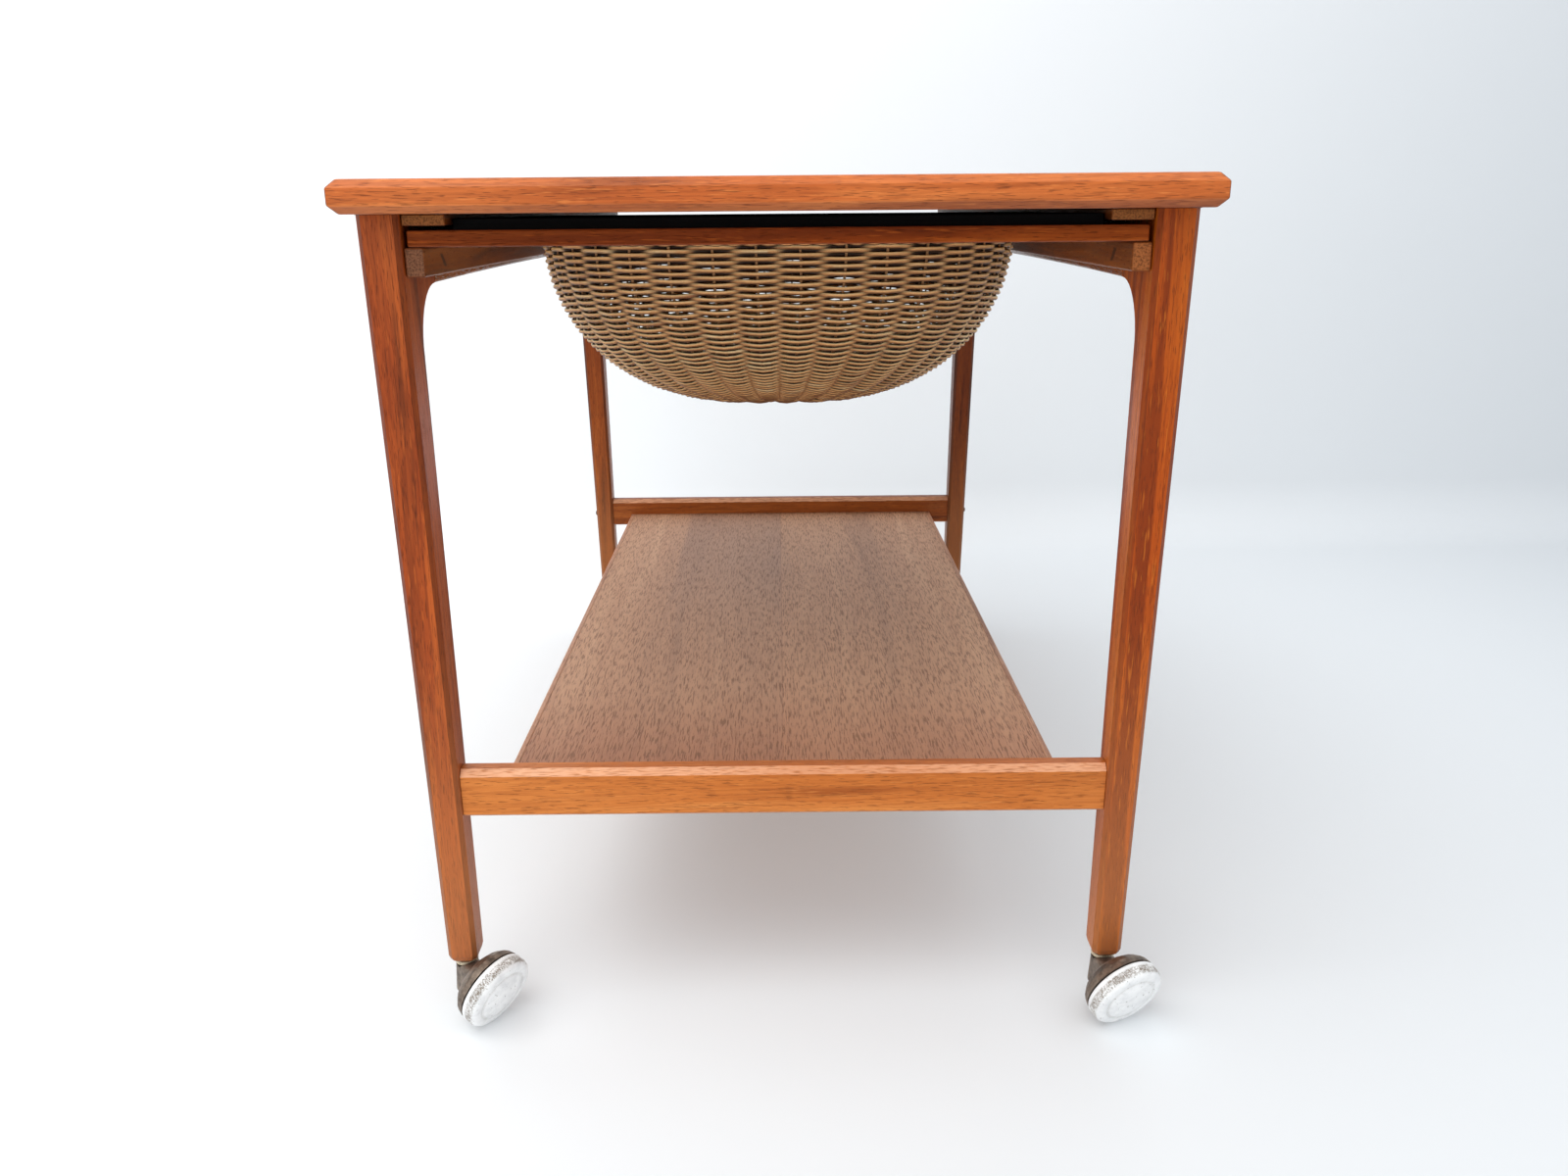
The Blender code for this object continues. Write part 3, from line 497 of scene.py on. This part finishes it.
class Strands:
    """Collects round strands and makes them one mesh. Each point knows how far along its strand it
    is, the strand's tone, and whether its side of the weave bulges out (1) or lies hidden (-1)."""

    def __init__(self):
        self.points, self.faces, self.facts = [], [], []
        self.count = 0

    def add(self, centre, out, up, radius_out, radius_up, closed, tone, swing=1.0):
        steps = len(centre)
        angle = np.arange(strand_sides) * 2 * math.pi / strand_sides
        ring = (
            centre[:, None, :]
            + out[:, None, :] * (radius_out * np.cos(angle))[None, :, None]
            + up[:, None, :] * (radius_up * np.sin(angle))[None, :, None]
        )
        gaps = np.linalg.norm(np.diff(centre, axis=0), axis=1)
        along = np.concatenate([[0], np.cumsum(gaps)])
        facts = np.zeros((steps, strand_sides, 3))
        facts[..., 0] = along[:, None]
        facts[..., 1] = tone
        facts[..., 2] = np.broadcast_to(swing, steps)[:, None] * np.cos(angle)[None, :]
        self.points.append(ring.reshape(-1, 3))
        self.facts.append(facts.reshape(-1, 3))
        i = np.arange(steps if closed else steps - 1)[:, None]
        j = np.arange(strand_sides)[None, :]
        following, beside = (i + 1) % steps, (j + 1) % strand_sides
        quads = np.stack(
            [
                i * strand_sides + j,
                i * strand_sides + beside,
                following * strand_sides + beside,
                following * strand_sides + j,
            ],
            axis=-1,
        )
        self.faces.extend((quads.reshape(-1, 4) + self.count).tolist())
        if not closed:
            first = list(range(self.count, self.count + strand_sides))
            last_start = self.count + (steps - 1) * strand_sides
            self.faces.append(first[::-1])
            self.faces.append(list(range(last_start, last_start + strand_sides)))
        self.count += steps * strand_sides

    def finish(self, name, material):
        mesh = bpy.data.meshes.new(name)
        mesh.from_pydata(np.concatenate(self.points).tolist(), [], self.faces)
        facts = mesh.attributes.new("strand", "FLOAT_VECTOR", "POINT")
        facts.data.foreach_set("vector", np.concatenate(self.facts).ravel().astype(np.float32))
        mesh.shade_smooth()
        mesh.materials.append(material)
        made = bpy.data.objects.new(name, mesh)
        bpy.context.scene.collection.objects.link(made)
        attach(made, "drawer")
        return made


def cane(name, pale, tan, brown, recess_shade):
    """Peeled cane: tone differs from strand to strand and in long soft stretches along each one.
    Upward faces are painted pale as a highlight, and undersides and what lies hidden in the weave
    are painted dark as shade."""
    finish = Finish(name, Specular_IOR_Level=0.35)
    facts = finish.node("ShaderNodeAttribute", {"attribute_name": "strand"}, out="Vector")
    along, tone, bulge = finish.parts(facts)
    spread = finish.node("ShaderNodeCombineXYZ", sockets={0: along * 22.0, 1: tone * 900.0})
    stretches = finish.noise(spread, 1.0, 3.0, 0.6)
    fibres = finish.noise(finish.place(), 1500.0, 2.0, 0.6)
    level = (stretches - 0.5) * 1.3 + tone * 0.25 + 0.38
    colour = finish.node(
        "ShaderNodeValToRGB",
        {"stops": [(0.10, brown), (0.45, tan), (0.62, tan), (0.92, pale)]},
        {"Fac": level},
    )
    colour = finish.mix(fibres.between(0.42, 0.7) * 0.3, colour, brown)
    facing_up = finish.parts(finish.node("ShaderNodeTexCoord", out="Normal"))[2]
    # Upward faces are painted pale: a painted highlight.
    colour = finish.mix(facing_up.between(-0.05, 0.6) * 0.85, colour, pale)
    # Undersides are painted brown, and darker still under bulging strands: painted shade.
    colour = finish.mix((1 - facing_up.between(-0.8, -0.1)) * 0.6, colour, brown)
    shadow = (1 - facing_up.between(-0.75, 0.12)) * bulge.between(0.08, 0.5)
    colour = finish.mix(shadow * recess_shade * 0.75, colour, paint(56, 24, 12))
    # What lies hidden in the weave is painted near black: painted shade in the recesses.
    colour = finish.mix((1 - bulge.between(-0.4, 0.4)) * recess_shade, colour, paint(34, 12, 6))
    finish.set("Base Color", colour)
    finish.set("Roughness", 0.42 + fibres * 0.2)
    finish.bump(fibres, 0.00008)
    return finish.material


cane_finish = cane(
    "peeled cane", paint(255, 232, 178), paint(238, 178, 112), paint(148, 86, 52), 0.97
)
stake_finish = cane("stake cane", paint(224, 180, 130), paint(186, 138, 94), paint(124, 80, 50), 0.6)


def ripple(steps, size):
    """A closed gentle unevenness along one row."""
    round_share = np.arange(steps) / steps * 2 * math.pi
    waves = sum(
        chance.uniform(-1, 1) * np.sin(round_share * turns + chance.uniform(0, 6.3))
        for turns in (5, 9, 14, 23, 31)
    )
    return waves * size


side_weave, bottom_weave = Strands(), Strands()
row_count = int((profile_run[-1] - bottom_gap) / row_pitch)
for row in range(row_count):
    down = first_row + row_pitch * row + chance.uniform(-row_stray, row_stray)
    scale = float(np.interp(down, profile_run, shrink))
    if scale < smallest_scale:
        break
    full = scale > drop_scale
    stakes = stake_count if full else stake_count // 2
    first_stake = 0.5 if full else 0.25
    steps = stakes * steps_per_stake
    share = np.arange(steps) / steps
    swing = np.cos(math.pi * (share * stakes - first_stake + row))
    spacing = rim_length * scale / stakes
    reach = min(weave_depth, spacing * swing_share) * chance.uniform(0.9, 1.08)
    downs = down + ripple(steps, ripple_up)
    here, outward, rise = bowl_frame(share, downs)
    loose = chance.uniform(0.95, 1.05)
    half_up = strand_up * np.interp(scale, (thin_until, full_from), (thin_share, 1.0))
    centre = here + outward * (swing * reach + ripple(steps, ripple_out) - weave_in)[:, None]
    (side_weave if full else bottom_weave).add(
        centre, outward, rise, strand_out * loose, half_up * loose, True, chance.random(), swing
    )
weave = side_weave.finish("basket_side_weave", cane_finish)
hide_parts("woven_basket")
bottom_weave.finish("basket_bottom_weave", cane_finish)

stake_strands = Strands()
drop_down = float(np.interp(-drop_scale, -shrink, profile_run))
for stake in range(stake_count):
    last = profile_run[-1] - bottom_gap if stake % 2 == 0 else drop_down
    downs = np.linspace(stake_top, last, int(last / stake_step))
    wobble = stake_stray * np.sin(downs * stake_waves + chance.uniform(0, 6.3)) / rim_length
    here, outward, rise = bowl_frame((stake + 0.5) / stake_count + wobble, downs)
    sideways = np.cross(outward, rise)
    centre = here - outward * weave_in
    stake_strands.add(centre, outward, sideways, stake_radius, stake_radius, False, chance.random())
stake_strands.finish("basket_stakes", stake_finish)

rim_strands = Strands()
rim_steps, twists = 420, 64
rim_share = np.arange(rim_steps) / rim_steps
rim_down, rim_in, twist_radius, rim_radius = 0.0024, 0.0010, 0.0010, 0.0012
for half in (0, math.pi):
    swing = rim_share * twists * 2 * math.pi + half
    here, outward, rise = bowl_frame(rim_share, rim_down + twist_radius * np.sin(swing))
    centre = here + outward * (twist_radius * np.cos(swing) - rim_in)[:, None]
    rim_strands.add(centre, outward, rise, rim_radius, rim_radius, True, chance.uniform(0.5, 0.9))
rim_strands.finish("basket_rim", cane_finish)

# ---- black tray ----------------------------------------------------------------------------------
# One vacuum-formed black plastic tray with six shallow compartments. It lies on the drawer's board
# and slides back over the basket.
plastic = Finish("black tray plastic", Specular_IOR_Level=0.08)
grit = plastic.noise(plastic.place(), 1400.0, 2.0)
scuffs = plastic.noise(plastic.place(), (40.0, 7.0, 40.0), 4.0, 0.7)
plastic_colour = plastic.mix(scuffs.between(0.55, 0.8) * 0.5, paint(2, 1, 2), paint(12, 11, 11))
plastic.set("Base Color", plastic_colour)
plastic.set("Roughness", 0.4 + scuffs * 0.2)
plastic.bump(grit, 0.00005)
dress("black_tray", plastic, 0.0005)

# ---- stretchers and shelf ------------------------------------------------------------------------
# Two solid teak stretchers screwed between the legs carry the shelf, a matt veneered panel with thin
# solid edging along its sides, housed in the stretchers.
stretcher_tones = {
    "front": (paint(216, 134, 66), paint(196, 110, 46), paint(156, 78, 28)),
    "rear": (paint(176, 96, 40), paint(138, 66, 20), paint(84, 30, 5)),
}
for number, (side, tones) in enumerate(stretcher_tones.items()):
    # The chamfers carry a strong painted highlight in a pale pinkish tone.
    wood = teak(
        f"stretcher teak {side}", "X", tones, 71 + number, figure=95.0, length=1.6, edge_highlight=1.0,
        streaks=0.3, edge_tone=paint(236, 180, 144),
    )
    dress(f"stretcher_{side}", wood)

shelf_veneer = (paint(206, 154, 116), paint(184, 128, 92), paint(138, 86, 58))
# The shelf's veneer carries a painted reflection behind its front strip.
dress("shelf_panel", veneer("shelf veneer", shelf_veneer, 9, 0.46, painted_sheen=0.4), 0)
edging_tones = (paint(214, 168, 138), paint(186, 134, 104), paint(138, 88, 62))
for side in ("left", "right"):
    dress(f"shelf_lipping_{side}", teak(f"shelf edging {side}", "Y", edging_tones, 81), 0.0004)

# ---- screws --------------------------------------------------------------------------------------
# Round-headed wood screws, darkened with age, through the legs into the ends of the stretchers.
screw_metal = Finish("aged screw metal", Metallic=0.7)
tarnish = screw_metal.noise(screw_metal.place(), 700.0, 3.0, 0.6)
screw_metal.set("Base Color", screw_metal.mix(tarnish, paint(122, 84, 66), paint(66, 44, 36)))
screw_metal.set("Roughness", 0.3 + tarnish * 0.25)
screw_metal.bump(tarnish, 0.00008)
corners = ("front_left", "front_right", "rear_left", "rear_right")
for corner in corners:
    dress(f"stretcher_screw_{corner}", screw_metal, 0)

# ---- casters -------------------------------------------------------------------------------------
# Hooded ball casters: plastic socket in the leg, steel stem, pressed bronzed hood with its neck, and
# a domed white plastic wheel, dirty on its tread, on an inclined axle. The wheel's profile runs from
# the middle of the dome over the tread and into the hub.
cream = Finish("cream socket plastic")
cream_stain = cream.noise(cream.place(), 500.0, 3.0, 0.6)
cream_colour = cream.mix(cream_stain.between(0.45, 0.75), paint(214, 200, 172), paint(150, 130, 102))
cream.set("Base Color", cream_colour)
cream.set("Roughness", 0.4 + cream_stain * 0.2)
cream.bump(cream_stain, 0.00006)

steel = Finish("dark steel", Metallic=0.9)
steel_spots = steel.noise(steel.place(), 900.0, 3.0, 0.6)
steel.set("Base Color", steel.mix(steel_spots, paint(70, 66, 62), paint(34, 31, 30)))
steel.set("Roughness", 0.3 + steel_spots * 0.25)
steel.bump(steel_spots, 0.00005)

bronze = Finish("bronzed hood metal")
bronze_place = bronze.place()
bronze_patina = bronze.noise(bronze_place, 180.0, 4.0, 0.65)
bronze_brush = bronze.noise(bronze_place, (900.0, 900.0, 120.0), 2.0)
bronze_colour = bronze.mix(bronze_patina.between(0.3, 0.7), paint(148, 132, 118), paint(92, 80, 70))
bronze_colour = bronze.mix(bronze_patina.between(0.58, 0.75) * 0.7, bronze_colour, paint(52, 44, 38))
bronze.set("Base Color", bronze_colour)
bronze.set("Metallic", 0.85 - bronze_patina.between(0.55, 0.8) * 0.5)
bronze.set("Roughness", 0.32 + bronze_patina * 0.2 + bronze_brush * 0.08)
bronze.bump(bronze_patina * 0.6 + bronze_brush * 0.3, 0.0001)

wheel_profile = (
    (0.0, 0.0083), (0.0045, 0.0081), (0.0090, 0.0076), (0.0130, 0.0068), (0.0158, 0.0060),
    (0.0170, 0.0052), (0.0178, 0.0051), (0.0188, 0.0056), (0.0212, 0.0055), (0.0232, 0.0049),
    (0.0246, 0.0036), (0.0253, 0.0018), (0.0254, 0.0002), (0.0251, -0.0022), (0.0253, -0.0030),
    (0.0254, -0.0042), (0.0249, -0.0052), (0.0238, -0.0055), (0.0205, -0.0055), (0.0200, -0.0050),
    (0.0200, -0.0032), (0.0190, -0.0030), (0.0072, -0.0030), (0.0067, -0.0034), (0.0058, -0.0080),
    (0.0052, -0.0085), (0.0024, -0.0085),
)


def rounded(profile):
    """Cuts the corners of a profile so that it turns smoothly, and keeps its two ends."""
    points = [np.array(point) for point in profile]
    cut = [points[0]]
    for one, two in zip(points, points[1:]):
        cut += [one * 0.75 + two * 0.25, one * 0.25 + two * 0.75]
    return cut + [points[-1]]


def turned(name, profile, sides):
    """Turns a profile of (radius, height) about Z. Only its first point may lie on the axis."""
    verts, faces, rows = [], [], []
    for radius, height in profile:
        if radius == 0:
            rows.append([len(verts)])
            verts.append((0, 0, height))
            continue
        rows.append(list(range(len(verts), len(verts) + sides)))
        for step in range(sides):
            angle = 2 * math.pi * step / sides
            verts.append((radius * math.cos(angle), radius * math.sin(angle), height))
    for one, two in zip(rows, rows[1:]):
        for step in range(sides):
            beside = (step + 1) % sides
            if len(one) == 1:
                faces.append((one[0], two[step], two[beside]))
            else:
                faces.append((one[step], two[step], two[beside], one[beside]))
    mesh = bpy.data.meshes.new(name)
    mesh.from_pydata(verts, [], faces)
    mesh.shade_smooth()
    made = bpy.data.objects.new(name, mesh)
    bpy.context.scene.collection.objects.link(made)
    return made


def wheel_finish(name, seed):
    """Hard white plastic, scuffed on the dome, with ground-in dirt round the tread."""
    finish = Finish(name)
    place = finish.place()
    x, y, z = finish.parts(place)
    across = finish.node("ShaderNodeCombineXYZ", sockets={0: x, 1: y})
    radius = finish.node("ShaderNodeVectorMath", {"operation": "LENGTH"}, {0: across}, out="Value")
    moved = shift(finish, place, seed)
    clouds = finish.noise(moved, 130.0, 4.0, 0.65)
    specks = finish.noise(moved, (1500.0, 1500.0, 700.0), 3.0, 0.7)
    nicks = finish.noise(moved, 420.0, 2.0, 0.6)
    tread = radius.between(0.0236, 0.0248) * (1 - abs(z - 0.0004).between(0.0020, 0.0036))
    grime = tread * (specks.between(0.44, 0.60) * 0.8 + clouds.between(0.40, 0.65) * 0.35)
    groove = 1 - abs(radius - 0.0174).between(0.0003, 0.0016)
    colour = finish.mix(clouds.between(0.3, 0.75), paint(247, 248, 248), paint(226, 227, 228))
    colour = finish.mix(groove * clouds * 0.5, colour, paint(176, 172, 164))
    colour = finish.mix(nicks.between(0.66, 0.72) * 0.7, colour, paint(120, 112, 102))
    colour = finish.mix(grime, colour, paint(126, 112, 96))
    finish.set("Base Color", colour)
    finish.set("Roughness", 0.34 + clouds * 0.15 + tread * 0.25)
    finish.bump(clouds * 0.5 - grime * 0.6, 0.0002)
    return finish.material


joints = {joint["name"]: joint for joint in frame["joints"]}
for number, corner in enumerate(corners):
    stem_at = Vector(joints[f"swivel_{corner}"]["pos_m"])
    wheel_at = Vector(joints[f"roll_{corner}"]["pos_m"])
    axle = Vector(joints[f"roll_{corner}"]["axis"]).normalized()
    away = wheel_at - stem_at
    away.z = 0
    if axle.dot(away) < 0:
        axle = -axle
    wheel = turned(f"white_wheel_{corner}", rounded(wheel_profile), 72)
    turn_to = axle.to_track_quat("Z", "Y").to_matrix().to_4x4()
    wheel.matrix_world = Matrix.Translation(wheel_at) @ turn_to
    wheel.data.materials.append(wheel_finish(f"white wheel {corner}", number * 2.3))
    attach(wheel, f"wheel_{corner}")
    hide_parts(f"caster_wheel_{corner}")
    dress(f"caster_hood_{corner}", bronze, 0)
    dress(f"caster_axle_{corner}", steel, 0)
    dress(f"caster_stem_{corner}", steel, 0)
    dress(f"caster_socket_{corner}", cream, 0)

# ---- floor, wall, light and camera ---------------------------------------------------------------
# A pale floor that curves up into a wall, clear of the drawer when it is out at the rear and not
# seen from behind. Even light from all round, a large soft lamp above, a weak one in front and one
# on the wall. The camera stands just below the height of the top and looks down a little.
floor_half, floor_front, floor_down = 3.2, -4.0, 0.0002
wall_at, wall_height, cove, cove_steps = 0.84, 3.0, 0.09, 8
profile = [(floor_front, 0.0), (wall_at - cove, 0.0)]
for step in range(1, cove_steps + 1):
    angle = math.pi / 2 * step / cove_steps
    profile.append((wall_at - cove + cove * math.sin(angle), cove * (1 - math.cos(angle))))
profile.append((wall_at, wall_height))
verts = [(side * floor_half, y, z - floor_down) for y, z in profile for side in (-1, 1)]
faces = [(2 * i, 2 * i + 1, 2 * i + 3, 2 * i + 2) for i in range(len(profile) - 1)]
mesh = bpy.data.meshes.new("floor_and_wall")
mesh.from_pydata(verts, [], faces)
mesh.shade_smooth()
backdrop = bpy.data.objects.new("floor_and_wall", mesh)
bpy.context.scene.collection.objects.link(backdrop)
# The floor and wall glow faintly, which lifts the shade under the table: painted light.
pale = Finish("pale floor", Roughness=0.85, Emission_Strength=0.13, Emission_Color=(0.95, 0.98, 1.0))
# The floor and wall are painted darker towards the right, as painted fall-off of the light.
painted_falloff = pale.parts(pale.place())[0].between(-0.5, 1.7)
pale.set("Base Color", pale.mix(painted_falloff, (0.74, 0.76, 0.775), (0.50, 0.53, 0.56)))
clear = pale.node("ShaderNodeBsdfTransparent")
painted = Value(pale, pale.shader.outputs[0])
seen_from_back = pale.node("ShaderNodeNewGeometry", out="Backfacing")
shown = pale.node("ShaderNodeMixShader", sockets={0: seen_from_back, 1: painted, 2: clear})
pale.tree.links.new(shown.socket, pale.tree.nodes["Material Output"].inputs["Surface"])
mesh.materials.append(pale.material)

world = bpy.data.worlds.new("studio")
bpy.context.scene.world = world
world.use_nodes = True
world.node_tree.nodes["Background"].inputs["Color"].default_value = (0.97, 0.985, 1.0, 1.0)
world.node_tree.nodes["Background"].inputs["Strength"].default_value = 0.88


def lamp(name, at, towards, size, power, colour):
    data = bpy.data.lights.new(name, "AREA")
    data.shape = "RECTANGLE"
    data.size, data.size_y = size
    data.energy = power
    data.color = colour
    made = bpy.data.objects.new(name, data)
    made.location = at
    made.rotation_euler = (Vector(towards) - Vector(at)).to_track_quat("-Z", "Y").to_euler()
    bpy.context.scene.collection.objects.link(made)


lamp("overhead", (-0.9, -1.1, 2.3), (0, 0, 0.3), (2.4, 1.6), 32, (1.0, 0.99, 0.97))
lamp("window", (-1.3, -2.8, 1.2), (0, 0, 0.35), (1.6, 1.6), 9, (1.0, 1.0, 1.0))
lamp("wall wash", (-0.1, 0.40, 1.7), (-0.1, 0.80, 0.2), (2.0, 0.4), 6, (0.98, 0.99, 1.0))

bpy.context.scene.view_settings.view_transform = "Standard"

camera_data = bpy.data.cameras.new("camera")
camera_data.lens = 28.233
camera_data.sensor_width = 36
camera = bpy.data.objects.new("camera", camera_data)
camera_at = (-0.0006, -1.0991, 0.5129)
pitch, heading, roll = math.radians(17.12), math.radians(0.159), math.radians(-0.483)
forward = Vector(
    (math.sin(heading) * math.cos(pitch), math.cos(heading) * math.cos(pitch), -math.sin(pitch))
)
right = Vector((math.cos(heading), -math.sin(heading), 0))
up = right.cross(forward)
right_rolled = right * math.cos(roll) + up * math.sin(roll)
up_rolled = up * math.cos(roll) - right * math.sin(roll)
turned_to = Matrix((right_rolled, up_rolled, -forward)).transposed().to_4x4()
camera.matrix_world = Matrix.Translation(camera_at) @ turned_to
bpy.context.scene.collection.objects.link(camera)
bpy.context.scene.camera = camera

# ---- final update --------------------------------------------------------------------------------
bpy.context.view_layer.update()
